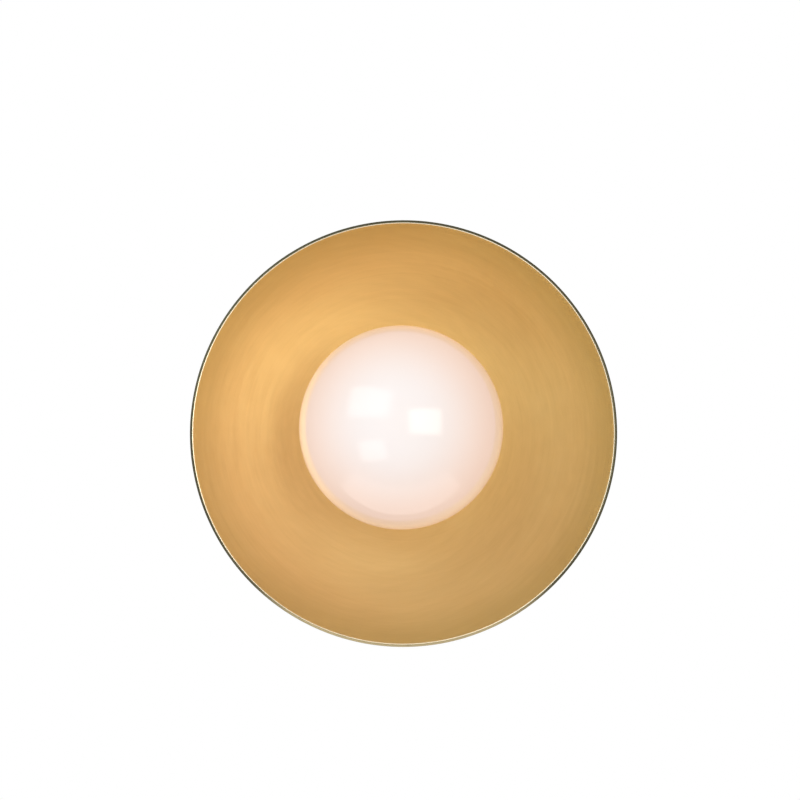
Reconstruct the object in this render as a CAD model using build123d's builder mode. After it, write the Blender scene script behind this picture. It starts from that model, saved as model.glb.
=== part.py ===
from build123d import *
import os
from math import atan2, cos, degrees, hypot, radians, sin, sqrt, tan

# Flush mount wall sconce: an opal glass globe screwed into a fitter in the middle of a
# spun brass dish. Sizes are in millimetres. The wall is the plane Y = 0, the room lies on
# its -Y side and Z points up. The axis of the light is the Y axis, and every distance is
# measured from the wall into the room.
FACE = Plane.XZ
PROFILE = Plane(origin=(0, 0, 0), x_dir=(1, 0, 0), z_dir=(0, 0, -1))
LIGHT_AXIS = Axis.Y

# Dish: brass sheet with a flat middle and its edge rolled back over a bead
DISH_DIAMETER = 305.0
DISH_DEPTH = 34.0
DISH_SHEET = 1.5
BEAD_DIAMETER = 3.0
SEAT_MARGIN = 3.0

# Globe: opal glass with a threaded neck
GLOBE_DIAMETER = 140.0
GLASS_WALL = 3.0
NECK_DIAMETER = 82.0
GLOBE_LIP_GAP = 11.2
NECK_FILLET = 4.0
NECK_END_ROUND = 1.2
THREAD_PITCH = 7.0
THREAD_TURNS = 1.25
THREAD_HEIGHT = 1.8
THREAD_ROOT = 4.1
THREAD_CREST = 1.8
THREAD_BITE = 0.8
THREAD_LEAD_IN = 4.5

# Glass fitter: brass cup with lugs that run in the thread of the glass
FITTER_SHEET = 1.5
FITTER_HEIGHT = 24.0
FITTER_CORNER = 3.0
LIP_DIAMETER = 2.4
THREAD_CLEARANCE = 0.7
LUG_COUNT = 3
LUG_DIAMETER = 2.6
LUG_CLEARANCE = 0.5
SEAL_THICKNESS = 2.0
SEAL_WIDTH = 4.0
SEAL_OVERHANG = 0.5

# Back pan: spun cover over the wall box
PAN_SHEET = 1.2
PAN_CORNER = 8.0
PAN_NUT_GAP = 2.0
PAN_BAR_GAP = 5.0
PAN_BLOCK_GAP = 1.5

# Wall crossbar: steel strap on the wall box with its middle bent clear of the wall
BAR_END_MARGIN = 2.5
BAR_WIDTH = 22.0
BAR_SHEET = 2.0
BAR_FLAT = 52.0
BAR_BEND = 3.0
BAR_END_ROUND = 5.0
BOX_SCREW_SPACING = 88.9
BOX_SLOT_WIDTH = 4.8
BOX_SLOT_LENGTH = 12.0
EARTH_SCREW_PLACE = 17.0

# Stud, its nuts and washers
STUD_DIAMETER = 8.0
STUD_WALL_GAP = 1.5
STUD_TAIL = 1.5
STUD_PROUD = 3.0
STUD_POINT = 0.8
NUT_ACROSS = 13.0
NUT_HEIGHT = 5.0
SPLIT_WASHER_DIAMETER = 14.0
SPLIT_WASHER_THICKNESS = 1.8
SPLIT_WASHER_GAP = 1.2
CLAMP_WASHER_DIAMETER = 17.0
CLAMP_WASHER_THICKNESS = 1.6
NUT_SIDES = 6
NUT_FACE_SHARE = 0.95
NUT_CHAMFER_ANGLE = 30.0

# Screws and nuts through fitter, dish and pan
SCREW_SEAL_GAP = 1.7
SCREW_COUNT = 3
SCREW_FIRST_ANGLE = 90.0
SCREW_DIAMETER = 4.0
SCREW_HEAD_DIAMETER = 7.6
SCREW_HEAD_HEIGHT = 2.6
SCREW_TAIL = 1.0
SCREW_NUT_ACROSS = 7.0
SCREW_NUT_HEIGHT = 3.2
SMALL_SCREW_DIAMETER = 3.0
SMALL_HEAD_DIAMETER = 5.4
SMALL_HEAD_HEIGHT = 2.0
DRIVER_SLOT_WIDTH = 0.9
DRIVER_SLOT_DEPTH = 1.1
HEAD_ROUND = 0.8

# Clearances on the radius
HOLE_CLEARANCE = 0.25
TAPPED_CLEARANCE = 0.04
SLOT_CLEARANCE = 0.2

# Grommet and leads
GROMMET_BRACKET_GAP = 6.5
GROMMET_WAIST_DIAMETER = 8.8
GROMMET_FLANGE_DIAMETER = 13.0
GROMMET_FLANGE = 1.2
GROMMET_BORE = 6.4
GROMMET_ROUND = 0.5
LEAD_DIAMETER = 2.0
LEAD_SPACING = 2.8
LEAD_BEND = 8.0
LEAD_TIGHT_BEND = 5.0
LEAD_ENTRY = 4.5
LEAD_DROP = 8.0
LEAD_RUN = 14.0
LEAD_LEVEL = 7.0

# Lampholder and its bracket
BRACKET_SHEET = 1.2
BRACKET_WIDTH = 14.0
BRACKET_HEIGHT = 43.0
BRACKET_BEND = 2.4
TAB_GAP = 0.5
TAB_MARGIN = 4.4
HOLDER_WIDTH = 18.0
HOLDER_THICKNESS = 13.0
HOLDER_LENGTH = 22.0
HOLDER_BEHIND_TAB = 14.0
HOLDER_CORNER = 3.0
HOLDER_EDGE = 0.6
HOLDER_FLANGE_MARGIN = 0.4
HOLDER_FLANGE_THICKNESS = 4.0
HOLDER_SCREW_GAP = 0.9
HOLDER_SCREW_LENGTH = 8.0
CONTACT_WIDTH = 3.8
CONTACT_THICKNESS = 3.2
CONTACT_LENGTH = 9.0
CONTACT_FLOOR = 1.0
CONTACT_DEPTH = 1.0
PIN_CLEARANCE = 0.15

# Lamp
PIN_SPACING = 9.0
PIN_DIAMETER = 1.2
PIN_LENGTH = 9.0
PIN_ROOT = 3.0
PIN_POINT = 0.3
LAMP_GAP = 0.5
LAMP_BASE_WIDTH = 15.0
LAMP_BASE_THICKNESS = 9.5
LAMP_BASE_LENGTH = 7.0
LAMP_COLLAR_DIAMETER = 17.0
LAMP_COLLAR_HEIGHT = 3.0
LAMP_EDGE = 0.5
ENVELOPE_DIAMETER = 16.0
ENVELOPE_WALL = 1.0
ENVELOPE_LENGTH = 42.0
BOARD_WIDTH = 5.0
BOARD_THICKNESS = 1.2
BOARD_LENGTH = 34.0
BOARD_ROOT = 2.0

# Terminal block
POLE_COUNT = 3
POLE_WALL = 0.9
POLE_LEVEL = 6.2
BLOCK_SIDE = 1.0
BLOCK_END = 1.0
BLOCK_DEPTH = 12.0
BLOCK_EDGE = 0.6
INSERT_SIZE = 4.4
INSERT_END = 1.2
INSERT_PASSAGE = 2.8
TERMINAL_SCREW_DIAMETER = 2.6
TERMINAL_SCREW_SPACING = 9.0
TERMINAL_WELL_CLEARANCE = 0.35
TERMINAL_SCREW_SUNK = 0.6

# Ring terminal of the earth lead
RING_DIAMETER = 8.5
RING_SHEET = 0.8
RING_TONGUE = 3.2
BARREL_START = 7.0
BARREL_LENGTH = 6.0
BARREL_DIAMETER = 3.6
BARREL_FIT = 0.05
BARREL_LIFT = 0.1
EARTH_TURN = 16.0

# Radii that the pieces share
STUD_RADIUS = STUD_DIAMETER / 2
LEAD_RADIUS = LEAD_DIAMETER / 2
PIN_RADIUS = PIN_DIAMETER / 2
NECK_RADIUS = NECK_DIAMETER / 2
GLOBE_RADIUS = GLOBE_DIAMETER / 2
FITTER_INNER = NECK_RADIUS + THREAD_HEIGHT + THREAD_CLEARANCE
FITTER_OUTER = FITTER_INNER + FITTER_SHEET
LIP_OUTER = FITTER_INNER + LIP_DIAMETER
SEAT_RADIUS = LIP_OUTER + SEAT_MARGIN
SEAL_OUTER = NECK_RADIUS + SEAL_OVERHANG
SEAL_INNER = SEAL_OUTER - SEAL_WIDTH
SCREW_RADIUS = SEAL_INNER - SCREW_SEAL_GAP - SCREW_HEAD_DIAMETER / 2

# Terminal block and grommet, as depths below the axis of the light
POLE_CHANNEL = INSERT_SIZE + 2 * SLOT_CLEARANCE
BLOCK_SCREW_HOLE = SMALL_SCREW_DIAMETER + 2 * SLOT_CLEARANCE
POLE_PITCH = POLE_CHANNEL + BLOCK_SCREW_HOLE + 2 * POLE_WALL
INSERT_LENGTH = TERMINAL_SCREW_SPACING + TERMINAL_SCREW_DIAMETER + 2 * INSERT_END
BLOCK_WIDTH = POLE_PITCH * POLE_COUNT + 2 * BLOCK_SIDE
BLOCK_HEIGHT = INSERT_LENGTH + 2 * BLOCK_END
GROMMET_OFFSET = (BRACKET_WIDTH + GROMMET_FLANGE_DIAMETER) / 2 + GROMMET_BRACKET_GAP
BLOCK_TOP = GROMMET_OFFSET + LEAD_RUN
BLOCK_MIDDLE = BLOCK_TOP + BLOCK_HEIGHT / 2

# Crossbar and the pan that covers it and the terminal block
BAR_LENGTH = BOX_SCREW_SPACING + BOX_SLOT_LENGTH + 2 * BAR_END_MARGIN
BAR_RISE = STUD_WALL_GAP + STUD_TAIL + NUT_HEIGHT
BAR_FRONT = BAR_RISE + BAR_SHEET
BAR_REACH = BAR_LENGTH / 2 + PAN_BAR_GAP + PAN_SHEET
BLOCK_REACH = hypot(BLOCK_WIDTH / 2, BLOCK_TOP + BLOCK_HEIGHT) + PAN_BLOCK_GAP + PAN_CORNER
PAN_RADIUS = max(BAR_REACH, BLOCK_REACH)

# Layers of the light, as distances from the wall
PAN_INSIDE = BAR_FRONT + SPLIT_WASHER_THICKNESS + NUT_HEIGHT + PAN_NUT_GAP
PAN_DEPTH = PAN_INSIDE + PAN_SHEET
DISH_FRONT = PAN_DEPTH + DISH_SHEET
RIM_PLANE = DISH_FRONT + DISH_DEPTH
FITTER_FLOOR = DISH_FRONT + FITTER_SHEET
FITTER_LIP = DISH_FRONT + FITTER_HEIGHT
NECK_END = FITTER_FLOOR + SEAL_THICKNESS
GLOBE_CENTRE = FITTER_LIP + GLOBE_LIP_GAP + sqrt(GLOBE_RADIUS**2 - LIP_OUTER**2)
NECK_TO_CENTRE = GLOBE_CENTRE - NECK_END
BRACKET_FRONT = FITTER_FLOOR + BRACKET_SHEET
CLAMP_NUT_BACK = BRACKET_FRONT + CLAMP_WASHER_THICKNESS
STUD_FRONT = CLAMP_NUT_BACK + NUT_HEIGHT + STUD_PROUD
TAB_FRONT = FITTER_FLOOR + BRACKET_HEIGHT
HOLDER_BACK = TAB_FRONT - HOLDER_BEHIND_TAB
HOLDER_FRONT = HOLDER_BACK + HOLDER_LENGTH
CONTACT_FRONT = HOLDER_FRONT - CONTACT_DEPTH
CONTACT_BACK = CONTACT_FRONT - CONTACT_LENGTH
LAMP_BACK = HOLDER_FRONT + LAMP_GAP
COLLAR_BACK = LAMP_BACK + LAMP_BASE_LENGTH
ENVELOPE_BACK = COLLAR_BACK + LAMP_COLLAR_HEIGHT
BLOCK_BACK = PAN_INSIDE - BLOCK_DEPTH
POLE_DISTANCE = PAN_INSIDE - POLE_LEVEL

# Lampholder screws, with the tabs and the flange that they pass through
HOLDER_SCREW_SPACING = HOLDER_WIDTH + SMALL_HEAD_DIAMETER + 2 * HOLDER_SCREW_GAP
HOLDER_FLANGE_LENGTH = HOLDER_SCREW_SPACING + SMALL_HEAD_DIAMETER + 2 * HOLDER_FLANGE_MARGIN
BRACKET_LEG = HOLDER_SCREW_SPACING / 2 + TAB_MARGIN
TAB_END = HOLDER_WIDTH / 2 + TAB_GAP

os.makedirs("parts", exist_ok=True)


def room(across, distance, height):
    """A point of the room from its place across, its distance from the wall and its height."""
    return (across, -distance, height)


def ring(start, thickness, outer, inner):
    """A flat ring about the axis of the light, with its back at this distance."""
    with BuildSketch(FACE.offset(start)) as flat:
        Circle(outer)
        Circle(inner, mode=Mode.SUBTRACT)
    extrude(flat.sketch, amount=thickness)


def floor_holes(start, depth):
    """The holes for stud, screws and grommet that fitter, dish and pan have in line."""
    with BuildSketch(FACE.offset(start)) as holes:
        Circle(STUD_RADIUS + HOLE_CLEARANCE)
        with PolarLocations(SCREW_RADIUS, SCREW_COUNT, start_angle=SCREW_FIRST_ANGLE):
            Circle(SCREW_DIAMETER / 2 + HOLE_CLEARANCE)
        with Locations((0, -GROMMET_OFFSET)):
            Circle(GROMMET_WAIST_DIAMETER / 2 + TAPPED_CLEARANCE)
    extrude(holes.sketch, amount=depth, mode=Mode.SUBTRACT)


def hex_nut(across, height, bore):
    """A hexagon nut with turned corners, its back on the wall plane and round the axis."""
    corner = across / sqrt(3)
    face = across / 2 * NUT_FACE_SHARE
    chamfer_height = (corner - face) * tan(radians(NUT_CHAMFER_ANGLE))
    with BuildPart() as nut:
        with BuildSketch(FACE):
            RegularPolygon(across / 2, NUT_SIDES, major_radius=False)
            Circle(bore, mode=Mode.SUBTRACT)
        extrude(amount=height)
        with BuildSketch(PROFILE):
            Polygon(
                (0, 0),
                (face, 0),
                (corner, chamfer_height),
                (corner, height - chamfer_height),
                (face, height),
                (0, height),
                align=None,
            )
        revolve(axis=LIGHT_AXIS, mode=Mode.INTERSECT)
    return nut.part


def slotted_screw(diameter, length, head_diameter, head_height):
    """A round head screw about the axis, its shank towards the wall from the wall plane."""
    with BuildPart() as screw:
        with BuildSketch(FACE):
            Circle(head_diameter / 2)
        extrude(amount=head_height)
        fillet(screw.edges().sort_by(Axis.Y)[0], HEAD_ROUND)
        with BuildSketch(FACE):
            Circle(diameter / 2)
        extrude(amount=-length)
        with BuildSketch(FACE.offset(head_height)):
            Rectangle(head_diameter, DRIVER_SLOT_WIDTH)
        extrude(amount=-DRIVER_SLOT_DEPTH, mode=Mode.SUBTRACT)
    return screw.part


def lead(points, bends):
    """A round lead along straight runs that are joined by tangent bends."""
    with BuildLine() as route:
        FilletPolyline(*points, radius=bends)
    with BuildSketch(Plane(origin=route.line @ 0, z_dir=route.line % 0)) as end:
        Circle(LEAD_RADIUS)
    sweep(end.sketch, path=route.line)


# Wall crossbar: bent strap with two slots for the screws of the wall box
with BuildPart() as wall_crossbar:
    with BuildSketch(PROFILE):
        with BuildLine():
            FilletPolyline(
                (-BAR_LENGTH / 2, 0),
                (-BAR_FLAT / 2 - BAR_RISE, 0),
                (-BAR_FLAT / 2, BAR_RISE),
                (BAR_FLAT / 2, BAR_RISE),
                (BAR_FLAT / 2 + BAR_RISE, 0),
                (BAR_LENGTH / 2, 0),
                radius=BAR_BEND,
            )
            offset(amount=BAR_SHEET, side=Side.LEFT)
        make_face()
    extrude(amount=BAR_WIDTH / 2, both=True)
    bar_ends = wall_crossbar.edges().filter_by(Axis.Y)
    fillet(bar_ends, BAR_END_ROUND)
    with BuildSketch(FACE):
        with GridLocations(BOX_SCREW_SPACING, 0, 2, 1):
            SlotOverall(BOX_SLOT_LENGTH, BOX_SLOT_WIDTH)
        Circle(STUD_RADIUS + TAPPED_CLEARANCE)
        with Locations((EARTH_SCREW_PLACE, 0)):
            Circle(SCREW_DIAMETER / 2 + TAPPED_CLEARANCE)
    extrude(amount=BAR_FRONT, mode=Mode.SUBTRACT)
wall_crossbar.part.label = "wall_crossbar"
export_step(wall_crossbar.part, "parts/wall_crossbar.step")

# Centre stud: threaded rod that the light is pushed over
with BuildPart() as centre_stud:
    with BuildSketch(FACE.offset(STUD_WALL_GAP)):
        Circle(STUD_RADIUS)
    extrude(amount=STUD_FRONT - STUD_WALL_GAP)
    chamfer(centre_stud.edges().filter_by(GeomType.CIRCLE), STUD_POINT)
centre_stud.part.label = "centre_stud"
export_step(centre_stud.part, "parts/centre_stud.step")

# Stud nuts: one on each side of the crossbar
stud_nut = hex_nut(NUT_ACROSS, NUT_HEIGHT, STUD_RADIUS + TAPPED_CLEARANCE)
with BuildPart() as stud_nuts:
    with Locations(
        room(0, BAR_RISE - NUT_HEIGHT, 0),
        room(0, BAR_FRONT + SPLIT_WASHER_THICKNESS, 0),
    ):
        add(stud_nut)
stud_nuts.part.label = "stud_nuts"
export_step(stud_nuts.part, "parts/stud_nuts.step")

# Stud washer: split ring under the front nut
with BuildPart() as stud_washer:
    ring(
        BAR_FRONT,
        SPLIT_WASHER_THICKNESS,
        SPLIT_WASHER_DIAMETER / 2,
        STUD_RADIUS + HOLE_CLEARANCE,
    )
    with BuildSketch(FACE.offset(BAR_FRONT)):
        with Locations((SPLIT_WASHER_DIAMETER / 4, 0)):
            Rectangle(SPLIT_WASHER_DIAMETER / 2, SPLIT_WASHER_GAP)
    extrude(amount=SPLIT_WASHER_THICKNESS, mode=Mode.SUBTRACT)
stud_washer.part.label = "stud_washer"
export_step(stud_washer.part, "parts/stud_washer.step")

# Earth screw: in the raised middle of the crossbar
with BuildPart() as earth_screw:
    with Locations(room(EARTH_SCREW_PLACE, BAR_FRONT, 0)):
        add(
            slotted_screw(
                SCREW_DIAMETER,
                BAR_SHEET + SCREW_TAIL,
                SCREW_HEAD_DIAMETER,
                SCREW_HEAD_HEIGHT,
            )
        )
earth_screw.part.label = "earth_screw"
export_step(earth_screw.part, "parts/earth_screw.step")

# Back pan: shallow cup with its open side on the wall
with BuildPart() as back_pan:
    with BuildSketch(PROFILE):
        with BuildLine():
            FilletPolyline(
                (0, PAN_DEPTH),
                (PAN_RADIUS, PAN_DEPTH),
                (PAN_RADIUS, 0),
                radius=PAN_CORNER,
            )
            offset(amount=PAN_SHEET, side=Side.RIGHT)
        make_face()
    revolve(axis=LIGHT_AXIS)
    floor_holes(PAN_INSIDE, PAN_SHEET)
    with BuildSketch(FACE.offset(PAN_INSIDE)):
        with Locations((0, -BLOCK_MIDDLE)):
            with GridLocations(POLE_PITCH, 0, 2, 1):
                Circle(SMALL_SCREW_DIAMETER / 2 + TAPPED_CLEARANCE)
    extrude(amount=PAN_SHEET, mode=Mode.SUBTRACT)
back_pan.part.label = "back_pan"
export_step(back_pan.part, "parts/back_pan.step")

# Dish: flat seat, then one curve out to the bead of the rim
bead_radius = BEAD_DIAMETER / 2
curve_width = DISH_DIAMETER / 2 - bead_radius - SEAT_RADIUS
curve_radius = DISH_DEPTH**2 + curve_width**2 - bead_radius**2
curve_radius = curve_radius / (2 * (DISH_DEPTH + bead_radius))
curve_sweep = degrees(atan2(curve_width, curve_radius - DISH_DEPTH))
with BuildPart() as dish:
    with BuildSketch(PROFILE):
        with BuildLine():
            Line((0, DISH_FRONT), (SEAT_RADIUS, DISH_FRONT))
            CenterArc((SEAT_RADIUS, DISH_FRONT + curve_radius), curve_radius, -90, curve_sweep)
            offset(amount=DISH_SHEET, side=Side.RIGHT)
        make_face()
        with Locations((SEAT_RADIUS + curve_width, RIM_PLANE)):
            Circle(bead_radius)
    revolve(axis=LIGHT_AXIS)
    floor_holes(PAN_DEPTH, DISH_SHEET)
dish.part.label = "dish"
export_step(dish.part, "parts/dish.step")

# Globe: sphere and neck blown in one, with the thread round the neck
with BuildPart() as globe:
    with BuildSketch(PROFILE) as glass_section:
        with Locations((0, GLOBE_CENTRE)):
            Circle(GLOBE_RADIUS)
        with Locations((0, NECK_END)):
            Rectangle(NECK_DIAMETER, NECK_TO_CENTRE, align=(Align.CENTER, Align.MIN))
        waist_low = NECK_END + NECK_END_ROUND
        waist_high = GLOBE_CENTRE - NECK_FILLET
        waist = glass_section.vertices().filter_by_position(Axis.Y, waist_low, waist_high)
        fillet(waist, NECK_FILLET)
        with Locations((0, GLOBE_CENTRE)):
            Circle(GLOBE_RADIUS - GLASS_WALL, mode=Mode.SUBTRACT)
        with Locations((0, NECK_END)):
            Rectangle(
                NECK_DIAMETER - 2 * GLASS_WALL,
                NECK_TO_CENTRE,
                align=(Align.CENTER, Align.MIN),
                mode=Mode.SUBTRACT,
            )
        fillet(glass_section.vertices().group_by(Axis.Y)[0], NECK_END_ROUND)
        with Locations((-GLOBE_DIAMETER, GLOBE_CENTRE)):
            Rectangle(2 * GLOBE_DIAMETER, 2 * GLOBE_DIAMETER, mode=Mode.SUBTRACT)
    revolve(axis=LIGHT_AXIS)
    with BuildLine() as thread_line:
        Helix(
            THREAD_PITCH,
            THREAD_PITCH * THREAD_TURNS,
            NECK_RADIUS,
            center=room(0, NECK_END + THREAD_LEAD_IN, 0),
            direction=(0, -1, 0),
        )
    thread_start = thread_line.line @ 0
    outward = Vector(thread_start.X, 0, thread_start.Z)
    with BuildSketch(Plane(thread_start, x_dir=outward, z_dir=thread_line.line % 0)):
        Polygon(
            (-THREAD_BITE, -THREAD_ROOT / 2),
            (THREAD_HEIGHT, -THREAD_CREST / 2),
            (THREAD_HEIGHT, THREAD_CREST / 2),
            (-THREAD_BITE, THREAD_ROOT / 2),
            align=None,
        )
    sweep(path=thread_line.line, is_frenet=True)
globe.part.label = "globe"
export_step(globe.part, "parts/globe.step")

# Glass fitter: cup with a rolled lip and lugs in the groove of the thread
thread_angle = degrees(atan2(thread_start.Z, thread_start.X))
with BuildPart() as glass_fitter:
    with BuildSketch(PROFILE):
        with BuildLine():
            FilletPolyline(
                (0, DISH_FRONT),
                (FITTER_OUTER, DISH_FRONT),
                (FITTER_OUTER, FITTER_LIP),
                radius=FITTER_CORNER,
            )
            offset(amount=FITTER_SHEET, side=Side.LEFT)
        make_face()
        with Locations((FITTER_INNER + LIP_DIAMETER / 2, FITTER_LIP)):
            Circle(LIP_DIAMETER / 2)
    revolve(axis=LIGHT_AXIS)
    for number in range(LUG_COUNT):
        turn = (number + 0.5) / LUG_COUNT
        around = radians(thread_angle + 360 * turn)
        groove = NECK_END + THREAD_LEAD_IN + THREAD_PITCH * (turn + 0.5)
        inward = Vector(-cos(around), 0, -sin(around))
        wall = room(FITTER_OUTER * cos(around), groove, FITTER_OUTER * sin(around))
        with BuildSketch(Plane(wall, x_dir=(0, 1, 0), z_dir=inward)):
            Circle(LUG_DIAMETER / 2)
        extrude(amount=FITTER_OUTER - NECK_RADIUS - LUG_CLEARANCE)
    floor_holes(DISH_FRONT, FITTER_SHEET)
glass_fitter.part.label = "glass_fitter"
export_step(glass_fitter.part, "parts/glass_fitter.step")

# Globe seal: silicone ring under the end of the neck
with BuildPart() as globe_seal:
    ring(FITTER_FLOOR, SEAL_THICKNESS, SEAL_OUTER, SEAL_INNER)
globe_seal.part.label = "globe_seal"
export_step(globe_seal.part, "parts/globe_seal.step")

# Body screws: heads in the fitter, tails in the pan
screw_length = FITTER_FLOOR - PAN_INSIDE + RING_SHEET + SCREW_NUT_HEIGHT + SCREW_TAIL
body_screw = slotted_screw(
    SCREW_DIAMETER, screw_length, SCREW_HEAD_DIAMETER, SCREW_HEAD_HEIGHT
)
screw_places = []
for number in range(SCREW_COUNT):
    around = radians(SCREW_FIRST_ANGLE + 360 / SCREW_COUNT * number)
    screw_places.append((SCREW_RADIUS * cos(around), SCREW_RADIUS * sin(around)))
with BuildPart() as body_screws:
    for across, height in screw_places:
        with Locations(room(across, FITTER_FLOOR, height)):
            add(body_screw)
body_screws.part.label = "body_screws"
export_step(body_screws.part, "parts/body_screws.step")

# Body nuts: inside the pan, the last one on top of the ring terminal
body_nut = hex_nut(SCREW_NUT_ACROSS, SCREW_NUT_HEIGHT, SCREW_DIAMETER / 2 + TAPPED_CLEARANCE)
earth_across, earth_height = screw_places[-1]
with BuildPart() as body_nuts:
    for across, height in screw_places[:-1]:
        with Locations(room(across, PAN_INSIDE - SCREW_NUT_HEIGHT, height)):
            add(body_nut)
    with Locations(room(earth_across, PAN_INSIDE - RING_SHEET - SCREW_NUT_HEIGHT, earth_height)):
        add(body_nut)
body_nuts.part.label = "body_nuts"
export_step(body_nuts.part, "parts/body_nuts.step")

# Lead grommet: rubber sleeve that grips the edges of fitter and pan
with BuildPart() as lead_grommet:
    with BuildSketch(FACE.offset(PAN_INSIDE)):
        with Locations((0, -GROMMET_OFFSET)):
            Circle(GROMMET_WAIST_DIAMETER / 2)
    extrude(amount=FITTER_FLOOR - PAN_INSIDE)
    for flange_back in (PAN_INSIDE - GROMMET_FLANGE, FITTER_FLOOR):
        with BuildSketch(FACE.offset(flange_back)):
            with Locations((0, -GROMMET_OFFSET)):
                Circle(GROMMET_FLANGE_DIAMETER / 2)
        extrude(amount=GROMMET_FLANGE)
    grommet_ends = lead_grommet.faces().sort_by(Axis.Y)
    fillet(grommet_ends[0].edges() + grommet_ends[-1].edges(), GROMMET_ROUND)
    with BuildSketch(FACE.offset(PAN_INSIDE - GROMMET_FLANGE)):
        with Locations((0, -GROMMET_OFFSET)):
            Circle(GROMMET_BORE / 2)
    extrude(amount=FITTER_FLOOR - PAN_INSIDE + 2 * GROMMET_FLANGE, mode=Mode.SUBTRACT)
lead_grommet.part.label = "lead_grommet"
export_step(lead_grommet.part, "parts/lead_grommet.step")

# Lampholder bracket: bent strip on the stud with two tabs for the holder
with BuildPart() as lampholder_bracket:
    with BuildSketch(PROFILE):
        with BuildLine():
            FilletPolyline(
                (-TAB_END, TAB_FRONT),
                (-BRACKET_LEG, TAB_FRONT),
                (-BRACKET_LEG, FITTER_FLOOR),
                (BRACKET_LEG, FITTER_FLOOR),
                (BRACKET_LEG, TAB_FRONT),
                (TAB_END, TAB_FRONT),
                radius=BRACKET_BEND,
            )
            offset(amount=BRACKET_SHEET, side=Side.LEFT)
        make_face()
    extrude(amount=BRACKET_WIDTH / 2, both=True)
    with BuildSketch(FACE.offset(FITTER_FLOOR)):
        Circle(STUD_RADIUS + HOLE_CLEARANCE)
    extrude(amount=BRACKET_SHEET, mode=Mode.SUBTRACT)
    with BuildSketch(FACE.offset(TAB_FRONT - BRACKET_SHEET)):
        with GridLocations(HOLDER_SCREW_SPACING, 0, 2, 1):
            Circle(SMALL_SCREW_DIAMETER / 2 + TAPPED_CLEARANCE)
    extrude(amount=BRACKET_SHEET, mode=Mode.SUBTRACT)
lampholder_bracket.part.label = "lampholder_bracket"
export_step(lampholder_bracket.part, "parts/lampholder_bracket.step")

# Clamp washer and clamp nut: pull bracket, fitter, dish and pan against the wall
with BuildPart() as clamp_washer:
    ring(
        BRACKET_FRONT,
        CLAMP_WASHER_THICKNESS,
        CLAMP_WASHER_DIAMETER / 2,
        STUD_RADIUS + HOLE_CLEARANCE,
    )
clamp_washer.part.label = "clamp_washer"
export_step(clamp_washer.part, "parts/clamp_washer.step")

with BuildPart() as clamp_nut:
    with Locations(room(0, CLAMP_NUT_BACK, 0)):
        add(stud_nut)
clamp_nut.part.label = "clamp_nut"
export_step(clamp_nut.part, "parts/clamp_nut.step")

# Lampholder: ceramic body with a screw flange, two contact pockets and two lead holes
with BuildPart() as lampholder:
    with BuildSketch(FACE.offset(HOLDER_BACK)):
        RectangleRounded(HOLDER_WIDTH, HOLDER_THICKNESS, HOLDER_CORNER)
    extrude(amount=HOLDER_LENGTH)
    holder_ends = lampholder.faces().sort_by(Axis.Y)
    fillet(holder_ends[0].edges() + holder_ends[-1].edges(), HOLDER_EDGE)
    with BuildSketch(FACE.offset(TAB_FRONT)):
        RectangleRounded(HOLDER_FLANGE_LENGTH, HOLDER_THICKNESS, HOLDER_CORNER)
    extrude(amount=HOLDER_FLANGE_THICKNESS)
    with BuildSketch(FACE.offset(TAB_FRONT)):
        with GridLocations(HOLDER_SCREW_SPACING, 0, 2, 1):
            Circle(SMALL_SCREW_DIAMETER / 2 + HOLE_CLEARANCE)
    extrude(amount=HOLDER_FLANGE_THICKNESS, mode=Mode.SUBTRACT)
    with BuildSketch(FACE.offset(CONTACT_BACK)):
        with GridLocations(PIN_SPACING, 0, 2, 1):
            Rectangle(CONTACT_WIDTH + 2 * SLOT_CLEARANCE, CONTACT_THICKNESS + 2 * SLOT_CLEARANCE)
    extrude(amount=HOLDER_FRONT - CONTACT_BACK, mode=Mode.SUBTRACT)
    with BuildSketch(FACE.offset(HOLDER_BACK)):
        with GridLocations(PIN_SPACING, 0, 2, 1):
            Circle(LEAD_RADIUS + TAPPED_CLEARANCE)
    extrude(amount=LEAD_ENTRY, mode=Mode.SUBTRACT)
lampholder.part.label = "lampholder"
export_step(lampholder.part, "parts/lampholder.step")

# Lampholder screws: through the flange into the tabs of the bracket
holder_screw = slotted_screw(
    SMALL_SCREW_DIAMETER, HOLDER_SCREW_LENGTH, SMALL_HEAD_DIAMETER, SMALL_HEAD_HEIGHT
)
with BuildPart() as lampholder_screws:
    for side in (-1, 1):
        across = side * HOLDER_SCREW_SPACING / 2
        with Locations(room(across, TAB_FRONT + HOLDER_FLANGE_THICKNESS, 0)):
            add(holder_screw)
lampholder_screws.part.label = "lampholder_screws"
export_step(lampholder_screws.part, "parts/lampholder_screws.step")

# Lampholder contacts: forked springs that grip the pins of the lamp
with BuildPart() as lampholder_contacts:
    with BuildSketch(FACE.offset(CONTACT_BACK)):
        with GridLocations(PIN_SPACING, 0, 2, 1):
            Rectangle(CONTACT_WIDTH, CONTACT_THICKNESS)
    extrude(amount=CONTACT_LENGTH)
    with BuildSketch(FACE.offset(CONTACT_BACK + CONTACT_FLOOR)):
        with GridLocations(PIN_SPACING, 0, 2, 1):
            Rectangle(PIN_DIAMETER + 2 * PIN_CLEARANCE, CONTACT_THICKNESS)
    extrude(amount=CONTACT_LENGTH - CONTACT_FLOOR, mode=Mode.SUBTRACT)
lampholder_contacts.part.label = "lampholder_contacts"
export_step(lampholder_contacts.part, "parts/lampholder_contacts.step")

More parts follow.
